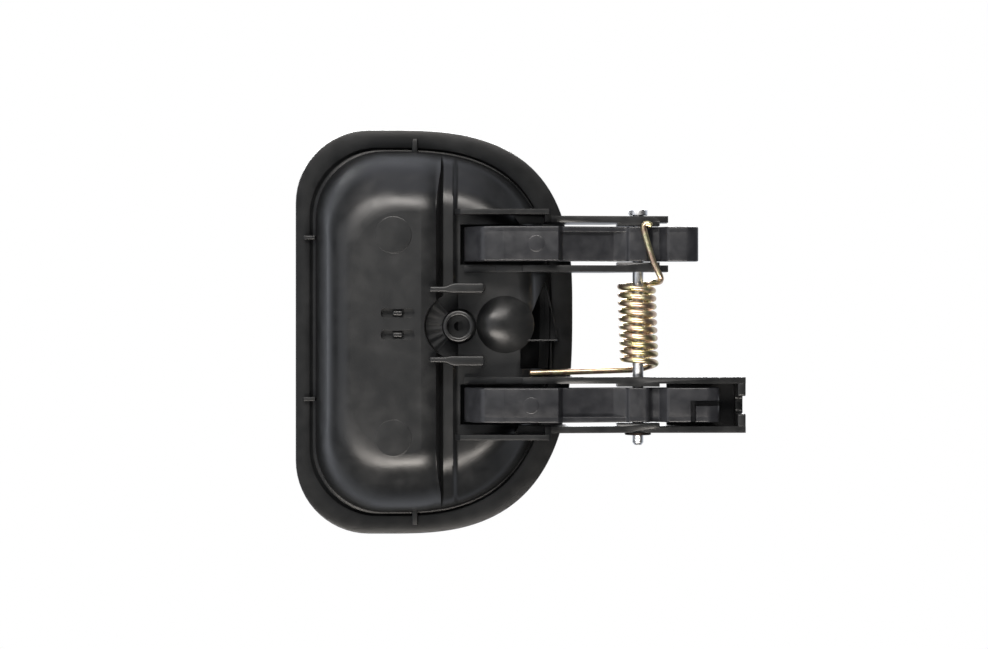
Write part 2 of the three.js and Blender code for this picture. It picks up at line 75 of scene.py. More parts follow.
PAN_LOW, PAN_HIGH = span("escutcheon_pan")
ARM_LOW, ARM_HIGH = span("upper_lever_arm")
FLAP_LOW, FLAP_HIGH = span("pull_flap")
PIVOT = np.array(frame["joints"][0]["pos_m"]) / MM
LEFT, BOTTOM, RIGHT, TOP = PAN_LOW[0], PAN_LOW[2], PAN_HIGH[0], PAN_HIGH[2]
RIM_FRONT = PAN_HIGH[1]
CUP_BACK = PAN_LOW[1]
print("rim", LEFT, RIGHT, BOTTOM, TOP, "pivot", PIVOT)

# %% [markdown]
# ## Camera, light and floor
# The handle is looked at squarely from inside the door, from 700 mm, with a short telephoto lens.
# Two broad soft boxes, above and below, draw the long highlights on the black plastic, and a pale
# surrounding behind the handle lights every surface that turns away from the camera.

# %% Camera
CAMERA_ACROSS, CAMERA_DISTANCE = 18.15, 700     # millimetres
camera = bpy.data.objects.new("camera", bpy.data.cameras.new("camera"))
camera.data.lens = 85
camera.data.sensor_width = 36
camera.location = (CAMERA_ACROSS * MM, -CAMERA_DISTANCE * MM, 0)
camera.rotation_euler = (math.radians(90), 0, 0)
scene.collection.objects.link(camera)
scene.camera = camera
scene.view_settings.view_transform = "Standard"

# %% [markdown]
# One function turns an sRGB hex colour into the linear values that Blender's sockets hold, and one
# adds a node with its settings, values and links. Every material below is built from these two.

# %% Colour and node helpers
def linear(hex_colour):
    """sRGB to linear: c/12.92 below 0.04045, else ((c + 0.055) / 1.055) to the power 2.4."""
    raw = np.array([int(hex_colour[i:i + 2], 16) / 255 for i in (1, 3, 5)])
    return (*np.where(raw <= 0.04045, raw / 12.92, ((raw + 0.055) / 1.055) ** 2.4), 1.0)


def add(tree, kind, values=None, **settings):
    """Adds a node, sets its properties, then sets or links each named or numbered input."""
    made = tree.nodes.new(kind)
    for key, value in settings.items():
        setattr(made, key, value)
    for key, value in (values or {}).items():
        if isinstance(value, bpy.types.NodeSocket):
            tree.links.new(value, made.inputs[key])
        else:
            made.inputs[key].default_value = value
    return made


# %% World: white behind the handle, dim on the camera's side, a little brighter towards the left
world = bpy.data.worlds.new("studio")
scene.world = world
world.use_nodes = True
sky = world.node_tree
sky.nodes.clear()
toward = add(sky, "ShaderNodeTexCoord")
split = add(sky, "ShaderNodeSeparateXYZ", {0: toward.outputs["Generated"]})
behind = add(sky, "ShaderNodeMapRange", {0: split.outputs["Y"], 1: -0.10, 2: 0.60, 3: 0.0, 4: 0.85},
             interpolation_type="SMOOTHSTEP")
sideways = add(sky, "ShaderNodeMapRange", {0: split.outputs["X"], 1: -1.0, 2: 0.6, 3: 0.13, 4: 0.03})
total = add(sky, "ShaderNodeMath", {0: behind.outputs[0], 1: sideways.outputs[0]}, operation="ADD")
seen = add(sky, "ShaderNodeBackground", {"Color": (1, 1, 1, 1), "Strength": 1.0})
lit = add(sky, "ShaderNodeBackground", {"Color": linear("#eef2fb"), "Strength": total.outputs[0]})
ray = add(sky, "ShaderNodeLightPath")
choose = add(sky, "ShaderNodeMixShader",
             {0: ray.outputs["Is Camera Ray"], 1: lit.outputs[0], 2: seen.outputs[0]})
add(sky, "ShaderNodeOutputWorld", {0: choose.outputs[0]})


# %% Soft boxes
def soft_box(name, place, size, power, tint="#ffffff"):
    """A rectangular area light at place, in millimetres, turned to face the middle of the handle."""
    data = bpy.data.lights.new(name, "AREA")
    data.shape = "RECTANGLE"
    data.size, data.size_y = size[0] * MM, size[1] * MM
    data.energy = power
    data.color = linear(tint)[:3]
    light = bpy.data.objects.new(name, data)
    light.location = np.array(place) * MM
    light.rotation_euler = (light.location * -1).to_track_quat("-Z", "Y").to_euler()
    light.visible_camera = False
    scene.collection.objects.link(light)


# above and below draw the long highlights, left and front are faint fills, overhead lights what faces
# up, and street lights the side that faces away from the camera
soft_box("box_above", (-60, -560, 480), (700, 190), 6.8, "#fffaf5")
soft_box("box_below", (-40, -560, -470), (700, 170), 7.0, "#fff8f0")
soft_box("box_left", (-620, -520, 0), (560, 900), 1.4, "#f4f7ff")
soft_box("box_front", (-160, -1100, 120), (420, 420), 0.5)
soft_box("box_overhead", (-100, -60, 1900), (1800, 1500), 6.5, "#f0f2ff")
soft_box("box_street", (-200, 1000, 620), (1100, 600), 36)


# %% Floor
FLOOR_RADIUS, FLOOR_HEIGHT, FLOOR_SIDES = 4, -0.85, 64     # metres, metres, count
floor_mesh = bpy.data.meshes.new("floor")
turn = np.linspace(0, 2 * np.pi, FLOOR_SIDES, endpoint=False)
rim_points = np.stack([FLOOR_RADIUS * np.cos(turn), FLOOR_RADIUS * np.sin(turn),
                       np.full(FLOOR_SIDES, FLOOR_HEIGHT)], 1)
floor_mesh.from_pydata(rim_points.tolist(), [], [list(range(FLOOR_SIDES))])
floor = bpy.data.objects.new("floor", floor_mesh)
scene.collection.objects.link(floor)
paper = bpy.data.materials.new("white_paper")
paper.use_nodes = True
paper_shader = paper.node_tree.nodes["Principled BSDF"]
# the faint glow keeps the floor pale from every angle
for socket, value in (("Base Color", linear("#f2f2f0")), ("Roughness", 0.9),
                      ("Emission Color", (1, 1, 1, 1)), ("Emission Strength", 0.35)):
    paper_shader.inputs[socket].default_value = value
floor_mesh.materials.append(paper)
# the floor is there to be seen; it doesn't bounce light up under the handle
floor.visible_diffuse = floor.visible_glossy = floor.visible_shadow = False
print("stage ready")

# %% [markdown]
# ## Finishes
# The housing is injection-moulded black polypropylene: satin, with a fine moulded grain, and cloudy
# patches where the melt flowed and where hands have touched it. The lever is glass-filled nylon, a
# little bluer and glossier. The pin is zinc-plated steel, the spring is drawn wire with a yellow
# chromate film whose thickness wanders, so its gold drifts towards rose and green.


# %% Moulded plastics
def moulded_plastic(name, dark, pale, roughness, grain_mm, grain_depth_mm, cloud_mm, dry_y=None):
    """Two noises: a fine one, one grain across, drives the bump; a coarse one shifts colour and gloss.
    dry_y gives two heights in millimetres between which the surface turns from glossy to dry."""
    material = bpy.data.materials.new(name)
    material.use_nodes = True
    tree = material.node_tree
    shader = tree.nodes["Principled BSDF"]
    where = add(tree, "ShaderNodeTexCoord").outputs["Object"]
    cloud = add(tree, "ShaderNodeTexNoise", {"Vector": where, "Scale": 1 / (cloud_mm * MM), "Detail": 4.0,
                                             "Roughness": 0.55, "Distortion": 0.6})
    streak = add(tree, "ShaderNodeTexNoise", {"Vector": where, "Scale": 3.2 / (cloud_mm * MM), "Detail": 2.0})
    both = add(tree, "ShaderNodeMath", {0: cloud.outputs["Fac"], 1: streak.outputs["Fac"]},
               operation="MULTIPLY")
    tint = add(tree, "ShaderNodeValToRGB", {0: both.outputs[0]})
    tint.color_ramp.elements[0].position, tint.color_ramp.elements[0].color = 0.12, linear(dark)
    tint.color_ramp.elements[1].position, tint.color_ramp.elements[1].color = 0.42, linear(pale)
    gloss = add(tree, "ShaderNodeMapRange", {0: both.outputs[0], 1: 0.12, 2: 0.42, 3: roughness - 0.06,
                                             4: roughness + 0.07})
    grain = add(tree, "ShaderNodeTexNoise", {"Vector": where, "Scale": 1 / (grain_mm * MM), "Detail": 3.0})
    bump = add(tree, "ShaderNodeBump", {"Height": grain.outputs["Fac"], "Strength": 0.35,
                                        "Distance": grain_depth_mm * MM})
    tree.links.new(tint.outputs["Color"], shader.inputs["Base Color"])
    tree.links.new(gloss.outputs[0], shader.inputs["Roughness"])
    tree.links.new(bump.outputs[0], shader.inputs["Normal"])
    shader.inputs["IOR"].default_value = 1.50
    if dry_y:
        height = add(tree, "ShaderNodeSeparateXYZ", {0: where}).outputs["Y"]
        dry = add(tree, "ShaderNodeMapRange",
                  {0: height, 1: dry_y[0] * MM, 2: dry_y[1] * MM, 3: 0.5, 4: 0.24})
        tree.links.new(dry.outputs[0], shader.inputs["Specular IOR Level"])
    return material


# Black polypropylene from a spark-eroded mould: a satin sheen, and grain 0.5 mm across, the
# finest that shows at this distance (the real texture is nearer 0.1 mm).
housing_black = moulded_plastic("black_polypropylene_satin_mould", "#131415", "#1a1b1c", 0.36, 0.5, 0.03, 14,
                                (-2.0, 0.0))
# Glass-filled nylon from a polished mould: bluer and glossier, with a faint orange peel 0.8 mm across.
lever_nylon = moulded_plastic("glass_filled_nylon_polished_mould", "#1e1f22", "#2a2b2e", 0.34, 0.8, 0.02, 9)
# Moulded stop rubber: dull, no highlight to speak of.
stop_rubber = moulded_plastic("moulded_stop_rubber", "#141414", "#1b1b1b", 0.78, 0.6, 0.04, 8)


# %% Plated steels
def plated_steel(name, colours, roughness, scale_mm, follow):
    """Metal whose tint runs through a few colours with a noise; follow is the vector socket name it reads."""
    material = bpy.data.materials.new(name)
    material.use_nodes = True
    tree = material.node_tree
    shader = tree.nodes["Principled BSDF"]
    where = add(tree, "ShaderNodeTexCoord").outputs[follow]
    drift = add(tree, "ShaderNodeTexNoise", {"Vector": where, "Scale": 1 / scale_mm, "Detail": 2.5})
    tint = add(tree, "ShaderNodeValToRGB", {0: drift.outputs["Fac"]})
    ramp = tint.color_ramp
    places = np.linspace(0.30, 0.70, len(colours))
    for extra in places[2:]:
        ramp.elements.new(extra)
    for element, place, colour in zip(ramp.elements, places, colours):
        element.position = place
        element.color = linear(colour)
    gloss = add(tree, "ShaderNodeMapRange", {0: drift.outputs["Fac"], 1: 0.3, 2: 0.7, 3: roughness - 0.05,
                                             4: roughness + 0.08})
    fine = add(tree, "ShaderNodeTexNoise", {"Vector": where, "Scale": 9 / scale_mm, "Detail": 2.0})
    bump = add(tree, "ShaderNodeBump",
               {"Height": fine.outputs["Fac"], "Strength": 0.08, "Distance": 0.01 * MM})
    tree.links.new(tint.outputs["Color"], shader.inputs["Base Color"])
    tree.links.new(gloss.outputs[0], shader.inputs["Roughness"])
    tree.links.new(bump.outputs[0], shader.inputs["Normal"])
    shader.inputs["Metallic"].default_value = 1.0
    return material


# Zinc electroplate over turned steel: bright, cool, softly blurred.
zinc_pin = plated_steel("zinc_plated_turned_steel", ("#b9bcbf", "#dcdee0", "#c8cbce"),
                        0.36, 2.5 * MM, "Object")
# Yellow chromate over zinc on drawn wire: gold that drifts to rose and to green along the wire. The
# pattern reads the wire's own UV, whose first axis is the length along the wire in millimetres.
spring_gold = plated_steel("yellow_chromate_drawn_wire",
                           ("#9d9468", "#d6cb9d", "#c6a996", "#e2d9b4", "#9fa880"), 0.31, 5.0, "UV")
# Phosphated spring steel: near black, with a dry sheen.
dark_steel = plated_steel("phosphated_spring_steel", ("#241f1d", "#3a322e"), 0.48, 1.5 * MM, "Object")
print(len(bpy.data.materials), "materials")

# %% [markdown]
# ## Surface helpers
# Every new shape is a grid of points worked out as whole numpy arrays. `grid_faces` joins such a grid
# into quads, and `piece` makes the mesh, welds shared points, turns the faces outwards and marks the
# creases sharper than a given angle, so a moulding shades smoothly across its rounds.


# %% Grids and pieces
CREASE = 38     # degrees


def grid_faces(rows, columns, close_rows=False, close_columns=False, start=0):
    """Quads between neighbouring rows and columns: corner (i, j) is point i * columns + j."""
    i = np.arange(rows if close_rows else rows - 1)[:, None]
    j = np.arange(columns if close_columns else columns - 1)[None, :]
    below, right = (i + 1) % rows, (j + 1) % columns
    quads = np.stack([i * columns + j, i * columns + right, below * columns + right, below * columns + j], -1)
    return quads.reshape(-1, 4) + start


def join(*parts):
    """Several (points, faces) pairs as one."""
    points, faces, start = [], [], 0
    for some, quads in parts:
        points.append(some)
        faces += [[int(v) + start for v in face] for face in quads]
        start += len(some)
    return np.concatenate(points), faces


def mesh_from(name, shape):
    """A mesh from millimetre points and faces."""
    points, faces = shape
    mesh = bpy.data.meshes.new(name)
    mesh.from_pydata((np.asarray(points) * MM).tolist(), [], [list(map(int, f)) for f in faces])
    return mesh


def shade(mesh):
    """Smooth shading, broken where two faces meet at more than the crease angle."""
    mesh.shade_smooth()
    mesh.set_sharp_from_angle(angle=math.radians(CREASE))


def piece(name, shape, material, body, replaced=(), uv=None):
    """Makes a mesh object from millimetre points and faces, welds it, and hangs it on a CAD body."""
    mesh = mesh_from(name, shape)
    if uv is not None:
        layer = mesh.uv_layers.new(name="along_wire")
        corner = np.empty(len(mesh.loops), int)
        mesh.loops.foreach_get("vertex_index", corner)
        layer.data.foreach_set("uv", uv[corner].astype(np.float32).ravel())
    tidy_mesh(mesh)
    mesh.materials.append(material)
    shade(mesh)
    made = bpy.data.objects.new(name, mesh)
    scene.collection.objects.link(made)
    if body:
        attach(made, body)
    if replaced:
        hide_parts(*replaced)
    return made


def housing_piece(name, shape, *replaced):
    """A piece of the black housing moulding, in place of the CAD nodes named after it."""
    return piece(name, shape, housing_black, "housing", replaced)


def tidy_mesh(mesh, weld=1e-6):
    """Welds points closer than a micrometre, drops faces with no area and turns faces outwards."""
    work = bmesh.new()
    work.from_mesh(mesh)
    bmesh.ops.remove_doubles(work, verts=work.verts, dist=weld)
    bmesh.ops.dissolve_degenerate(work, edges=work.edges, dist=weld)
    bmesh.ops.recalc_face_normals(work, faces=work.faces)
    work.to_mesh(mesh)
    work.free()


# %% [markdown]
# A boolean cut is finished at once: the modifier is evaluated and its result becomes the mesh, so no
# cutter stays in the scene. Moulded plates start as copies of their CAD nodes: the copy's triangles are
# welded and merged into flat faces, then a Bevel modifier rounds the edges as a real mould does.


# %% Cuts and softened copies
def cut(target, shape, operation="DIFFERENCE"):
    """Cuts target with a closed shape given in millimetres, or joins it on."""
    mesh = mesh_from("cutter", shape)
    tidy_mesh(mesh)
    cutter = bpy.data.objects.new("cutter", mesh)
    scene.collection.objects.link(cutter)
    step = target.modifiers.new("cut", "BOOLEAN")
    step.operation = operation
    step.solver = "EXACT"
    step.object = cutter
    bake_modifiers(target)
    bpy.data.objects.remove(cutter)
    bpy.data.meshes.remove(mesh)


def bake_modifiers(target):
    """Replaces an object's mesh by what its modifiers make of it."""
    bpy.context.view_layer.update()
    graph = bpy.context.evaluated_depsgraph_get()
    result = bpy.data.meshes.new_from_object(target.evaluated_get(graph))
    old = target.data
    name = old.name
    target.modifiers.clear()
    target.data = result
    bpy.data.meshes.remove(old)
    result.name = name


def softened(node, name, material, body, edge_mm):
    """A copy of a CAD node with merged flat faces and rounded edges, edge_mm across."""
    mesh = frame["nodes"][node].data.copy()
    mesh.name = name
    mesh.materials.clear()
    work = bmesh.new()
    work.from_mesh(mesh)
    bmesh.ops.remove_doubles(work, verts=work.verts, dist=2e-6)
    bmesh.ops.dissolve_limit(work, angle_limit=math.radians(1.0), verts=work.verts, edges=work.edges)
    work.to_mesh(mesh)
    work.free()
    mesh.materials.append(material)
    made = bpy.data.objects.new(name, mesh)
    scene.collection.objects.link(made)
    bevel = made.modifiers.new("moulded_edge", "BEVEL")
    bevel.width = edge_mm * MM
    bevel.segments = 3
    bevel.limit_method = "ANGLE"
    bevel.angle_limit = math.radians(40)
    bake_modifiers(made)
    shade(made.data)
    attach(made, body)
    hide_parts(node)
    return made


# %% Basic forms
def slab(corners, radii, low, high, edge, axis, arc=6):
    """A flat outline carried along one axis. Each corner becomes an arc of its radius, and both ends are
    rounded over: at angle a the outline is inset by edge * (1 - sin a), edge * (1 - cos a) from the end."""
    corners = np.array(corners, float)
    radii = np.broadcast_to(np.array(radii, float), len(corners))
    before, after = np.roll(corners, 1, 0) - corners, np.roll(corners, -1, 0) - corners
    reach_before, reach_after = np.linalg.norm(before, axis=1), np.linalg.norm(after, axis=1)
    before /= reach_before[:, None]
    after /= reach_after[:, None]
    half = np.arccos(np.clip((before * after).sum(1), -0.9999, 0.9999)) / 2
    back = np.minimum(radii / np.tan(half), 0.48 * np.minimum(reach_before, reach_after))
    radii = back * np.tan(half)
    bisector = (before + after) / np.linalg.norm(before + after, axis=1)[:, None]
    middle = corners + bisector * (radii / np.sin(half))[:, None]
    start, end = corners + before * back[:, None] - middle, corners + after * back[:, None] - middle
    swing = np.arctan2(start[:, 0] * end[:, 1] - start[:, 1] * end[:, 0], (start * end).sum(1))
    a = np.linspace(0, 1, arc)[None, :] * swing[:, None]
    x = start[:, :1] * np.cos(a) - start[:, 1:] * np.sin(a)
    y = start[:, :1] * np.sin(a) + start[:, 1:] * np.cos(a)
    line = (middle[:, None, :] + np.stack([x, y], -1)).reshape(-1, 2)
    along = np.roll(line, -1, 0) - np.roll(line, 1, 0)
    along /= np.linalg.norm(along, axis=1)[:, None]
    area = (line[:, 0] * np.roll(line[:, 1], -1) - line[:, 1] * np.roll(line[:, 0], -1)).sum()
    inward = np.stack([-along[:, 1], along[:, 0]], 1) * np.sign(area)
    a = np.linspace(0, np.pi / 2, 4)
    inset = np.concatenate([edge * (1 - np.sin(a)), (edge * (1 - np.sin(a)))[::-1]])
    level = np.concatenate([low + edge * (1 - np.cos(a)), (high - edge * (1 - np.cos(a)))[::-1]])
    flat = line[None] + inward[None] * inset[:, None, None]
    height = np.broadcast_to(level[:, None], flat.shape[:2])
    order = {"X": (height, flat[..., 0], flat[..., 1]), "Y": (flat[..., 0], height, flat[..., 1]),
             "Z": (flat[..., 0], flat[..., 1], height)}[axis]
    points = np.stack(order, -1).reshape(-1, 3)
    count = len(line)
    faces = [list(f) for f in grid_faces(len(level), count, close_columns=True)]
    faces += [list(range(count)), list(range((len(level) - 1) * count, len(level) * count))]
    return points, faces


def block(low, high):
    """A plain box between two corners, for cutting."""
    return slab([(low[0], low[1]), (high[0], low[1]), (high[0], high[1]), (low[0], high[1])], 0.001,
                low[2], high[2], 0.0005, "Z", arc=2)


def turned(profile, centre, axis, steps=64, arc=(0, 2 * math.pi)):
    """A profile of (radius, height) pairs turned about an axis: x = r cos t, y = r sin t, z = h."""
    profile = np.array(profile, float)
    whole = abs(arc[1] - arc[0] - 2 * math.pi) < 1e-6
    t = np.linspace(arc[0], arc[1], steps, endpoint=not whole)
    r, h = profile[:, :1], np.repeat(profile[:, 1:], steps, 1)
    a, b = r * np.cos(t), r * np.sin(t)
    order = {"Z": (a, b, h), "Y": (a, h, b), "X": (h, a, b)}[axis]
    points = (np.stack(order, -1) + np.array(centre, float)).reshape(-1, 3)
    faces = [list(f) for f in grid_faces(len(profile), steps, close_rows=not whole, close_columns=whole)]
    if not whole:
        faces += [[k * steps for k in range(len(profile))],
                  [k * steps + steps - 1 for k in range(len(profile))]]
    return points, faces


def turned_ring(profile, centre, axis, steps):
    """A turned profile that doesn't reach the axis, closed by a last row from its end to its start."""
    points, faces = turned(profile, centre, axis, steps)
    last = (len(profile) - 1) * steps
    closing = [[last + f if f < steps else f - steps for f in face]
               for face in grid_faces(2, steps, close_columns=True)]
    return points, faces + closing


# %% [markdown]
# ## The escutcheon
# One moulding: a rim on the door skin, a deep finger cup on the left and a shallower pocket on the
# right, meeting in a straight step. It could be sculpted or cut from solids, but a moulding's walls run
# evenly round its outline, so each half is one profile carried round the outline: front floor, front
# wall, rim, groove, back wall, back floor. The two halves share the step's plane, and a strip of
# quads joins their profiles there, which closes the shell.

# %% The outline and its two halves
CROWN = -13.6          # where the top and bottom edges are level
WIDEST = 4.4           # height at which the flap side stands furthest out
FULLNESS = 2.85        # superellipse exponent of the flap side
CORNER = 22.0          # corner radius on the cup side
WALL = 2.2
SEAM = 1.2             # the step's plane at the cup's floor
DRAFT = 0.15


def crown_height(x, ends, flap_side, up):
    """Superellipse height: z = widest + reach * (1 - u^n)^(1/n), u from 0 at the crown to 1 at the edge."""
    reach = (TOP - ends - WIDEST) if up else (BOTTOM + ends - WIDEST)
    u = np.clip((x - CROWN) / (RIGHT - flap_side - CROWN), 0, 1)
    return WIDEST + reach * (1 - u ** FULLNESS) ** (1 / FULLNESS)


def cup_ring(side, ends, flap_side, seam):
    """The outline from the seam's top, round the cup side, to the seam's bottom, moved in by three insets."""
    corner = CORNER - 0.14 * (side + ends)
    left = LEFT + side
    run = seam - left - corner
    x = seam - run * np.linspace(0, 1, 18) ** 1.6
    a = np.linspace(np.pi / 2, np.pi, 16)[1:]
    high = np.stack([x, crown_height(x, ends, flap_side, True)], 1)
    low = np.stack([x, crown_height(x, ends, flap_side, False)], 1)
    arc_high = np.stack([left + corner + corner * np.cos(a), TOP - ends - corner + corner * np.sin(a)], 1)
    arc_low = np.stack([left + corner + corner * np.cos(a), BOTTOM + ends + corner - corner * np.sin(a)], 1)
    z = np.linspace(arc_high[-1, 1], arc_low[-1, 1], 22)[1:-1]
    straight = np.stack([np.full(len(z), left), z], 1)
    return np.concatenate([high, arc_high, straight, arc_low[::-1], low[::-1]])


def pocket_ring(side, ends, flap_side, seam):
    """The outline from the seam's top, round the flap side, to the seam's bottom. Points are 0.4 mm apart
    beside the seam; further on the angle runs with the 1.43rd power of an even parameter, which spaces
    them evenly along the flattest stretch."""
    half = RIGHT - flap_side - CROWN
    near = seam + np.linspace(0, 9, 23)
    a_near = np.arccos(((near - CROWN) / half) ** (FULLNESS / 2))
    a = np.concatenate([a_near, a_near[-1] * np.linspace(1, 0, 42)[1:] ** 1.43])
    x = CROWN + half * np.cos(a) ** (2 / FULLNESS)
    x[:23] = near
    high, low = crown_height(x, ends, flap_side, True), crown_height(x, ends, flap_side, False)
    high[-1] = low[-1] = WIDEST
    return np.concatenate([np.stack([x, high], 1), np.stack([x, low], 1)[-2::-1]])


# %% The profile that is carried round
def reach_at(height, run, depth, fold, foot):
    """How far out from the floor's edge a wall stands at each height above the floor. The wall is an arc
    of radius fold, a straight slope s, and an arc of radius foot that ends at e = 88 degrees:
    fold sin s + (depth - fold (1 - cos s) - foot (cos s - cos e)) / tan s + foot (sin e - sin s) = run,
    solved for s by halving."""
    end, low, high = math.radians(88), math.radians(5), math.radians(87)
    for _ in range(40):
        s = (low + high) / 2
        first, last = fold * (1 - math.cos(s)), foot * (math.cos(s) - math.cos(end))
        slope = (depth - first - last) / math.tan(s)
        wide = fold * math.sin(s) + slope + foot * (math.sin(end) - math.sin(s)) > run
        low, high = (s, high) if wide else (low, s)
    bend = fold * np.sqrt(1 - (1 - np.clip(height, 0, first) / fold) ** 2)
    straight = np.clip(height - first, 0, depth - first - last) / math.tan(s)
    turn = math.cos(s) - np.clip(height - (depth - last), 0, last) / foot
    return bend + straight + foot * (np.sqrt(1 - turn ** 2) - math.sin(s))


def wall_rings(foot, run, bends, top_y, depth, count):
    """A basin wall from its floor's edge up to its foot, as (three insets, y)."""
    height = depth * np.linspace(0, 1, count) ** 1.6
    insets = [f + r - reach_at(height, r, depth, *bend) for f, r, bend in zip(foot, run, bends)]
    return np.stack(insets + [top_y - depth + height], 1)


FOOT_FRONT = np.array([8.2, 8.2, 8.2])
FOOT_BACK = np.array([6.0, 6.5, 6.9])
RIM_WIDTH = np.array([4.2, 5.3, 6.3])
CUP_RUN, CUP_BENDS = (13.0, 20.0, 9.0), ((9, 9), (13, 22), (5, 5))
POCKET_RUN, POCKET_BENDS = (13.0, 17.0, 9.0), ((5, 5), (12, 9), (5, 5))
POCKET_BACK = -13.0
GROOVE = 1.0
BACK_ROWS = 34
FRONT_BEND = 0.7       # the front skin's bend radii as a share of the back skin's


def inset_row(inset, y):
    return np.append(np.broadcast_to(np.array(inset, float), 3), y)


def profile_for(run, bends, depth, mouth):
    """All rings of one half, from the front floor's edge to the back floor's edge, as (insets, y)."""
    # the front skin bends on smaller radii than the back one, which keeps the two apart
    shorter = [(FRONT_BEND * a, FRONT_BEND * b) for a, b in bends]
    front = wall_rings(FOOT_FRONT, run, shorter, 0.0, -depth - WALL, 18)
    a = np.linspace(0, np.pi / 2, 6)[1:]
    edge = [inset_row(2.4 * (1 - np.sin(b)), 1.2 + (RIM_FRONT - 1.2) * np.cos(b)) for b in a]
    rim = [inset_row(5.2, RIM_FRONT), inset_row(4.0, RIM_FRONT), inset_row(2.4, RIM_FRONT)] + edge
    rim += [inset_row(0, 0.5), inset_row(0.15, 0.15), inset_row(0.5, 0), inset_row(RIM_WIDTH * 0.6, 0)]
    groove = [inset_row(RIM_WIDTH - 0.3, 0), inset_row(RIM_WIDTH, 0.12), inset_row(RIM_WIDTH + 0.2, 0.6),
              inset_row((RIM_WIDTH + FOOT_BACK) / 2, 1.2), inset_row(FOOT_BACK - 0.12, 1.1)]
    back = wall_rings(FOOT_BACK, run, bends, GROOVE, GROOVE - depth, BACK_ROWS)[::-1]
    return np.concatenate([front, mouth, rim, groove, back]), len(front), len(front) + len(mouth)


ROUND_MOUTH = [inset_row(8.2 - 1.5 * (1 - math.cos(a)), 1.7 + 1.5 * math.sin(a))
               for a in np.linspace(0, 1.5, 6)]
SEAT_MOUTH = [inset_row(8.2, 1.3), inset_row(8.05, 1.5), inset_row(6.7, 1.5), inset_row(6.6, 1.7),
              inset_row((6.6, 6.6, 5.6), 2.9), inset_row((6.2, 6.2, 5.2), RIM_FRONT)]
cup_profile, front_rings, mouth_rings = profile_for(CUP_RUN, CUP_BENDS, CUP_BACK, ROUND_MOUTH)
pocket_profile, _, _ = profile_for(POCKET_RUN, POCKET_BENDS, POCKET_BACK, SEAT_MOUTH)
RINGS = len(cup_profile)
print(RINGS, "rings in the escutcheon's profile")


# %% The shell
def carried(profile, ring, seams, shrink, to_pole):
    """Stacks one ring for each profile row, then closes both floors: each ring shrinks to a pole on the
    seam, or only its z shrinks, which folds it flat onto the line z = 0."""
    rows = [np.insert(ring(*row[:3], seam), 1, row[3], axis=1) for row, seam in zip(profile, seams)]

    def filled(row, f):
        fixed = np.array([row[0, 0], row[0, 1], 0.0]) if to_pole else row * (1, 1, 0)
        return fixed + (row - fixed) * f

    return np.array([filled(rows[0], f) for f in shrink[::-1]] + rows + [filled(rows[-1], f) for f in shrink])


shrink = np.append(np.linspace(0.95, 0.06, 19), 0.0)
even = np.arange(RINGS)
front_share = np.clip((even - mouth_rings) / 4, 0, 1)
cup_seam = np.where(even < mouth_rings, SEAM - WALL, SEAM - WALL + WALL * front_share)
pocket_seam = np.where((even >= front_rings) & (even < mouth_rings), SEAM - 0.6, cup_seam)
cup_seam = np.where((even >= front_rings) & (even < mouth_rings), SEAM - 0.6, cup_seam)
cup_seam = cup_seam + DRAFT * np.clip(cup_profile[:, 3] - CUP_BACK, 0, 8) * (even > mouth_rings + 12)
pocket_seam = pocket_seam + DRAFT * np.clip(pocket_profile[:, 3] - CUP_BACK, 0, 8) * (even > mouth_rings + 12)
cup = carried(cup_profile, cup_ring, cup_seam, shrink, True)
pocket = carried(pocket_profile, pocket_ring, pocket_seam, shrink, False)

# behind, the cup's floor falls away towards the step: 1.3 mm over 5.5 mm, as a square of the distance
back_rows = np.arange(len(cup)) >= len(shrink) + RINGS - BACK_ROWS
step_height = np.clip((pocket[:, 0, 1] - cup[:, 0, 1]) / 3, 0, 1)
share = np.clip((cup[..., 0] - (SEAM - 5.5)) / 5.5, 0, 1)
cup[..., 1] += 1.3 * share ** 2 * (back_rows * step_height)[:, None]

# beside the step the pocket carries a long flat-topped ridge, which dies away up the end walls:
# its height is a smoothstep of the distance to the edge of a band a little over 5 mm wide
RIDGE_X, RIDGE_HALF, RIDGE_SIDE, RIDGE_HEIGHT = 4.7, 2.6, 1.3, 1.3
t = np.clip((RIDGE_HALF - np.abs(pocket[..., 0] - RIDGE_X)) / RIDGE_SIDE, 0, 1)
swell = t * t * (3 - 2 * t)
pocket[..., 1] -= RIDGE_HEIGHT * swell * np.clip((GROOVE - pocket[..., 1]) / 7, 0, 1) * back_rows[:, None]

columns_cup, columns_pocket = cup.shape[1], pocket.shape[1]
strips = []
for end in (0, -1):
    pair = np.stack([cup[:, end], pocket[:, end]], 1)
    strips.append((pair.reshape(-1, 3), grid_faces(len(cup), 2)))
shell_shape = join((cup.reshape(-1, 3), grid_faces(len(cup), columns_cup)),
                   (pocket.reshape(-1, 3), grid_faces(len(pocket), columns_pocket)), *strips)
shell = housing_piece("escutcheon_shell", shell_shape, "escutcheon_pan")
print("shell before its openings:", len(shell.data.polygons), "faces")

# %% [markdown]
# The arms pass through two windows, and a stepped opening lies between the channels. The
# finger cup's floor has two bow-tie recesses beside the boss, where the mould's cores met.

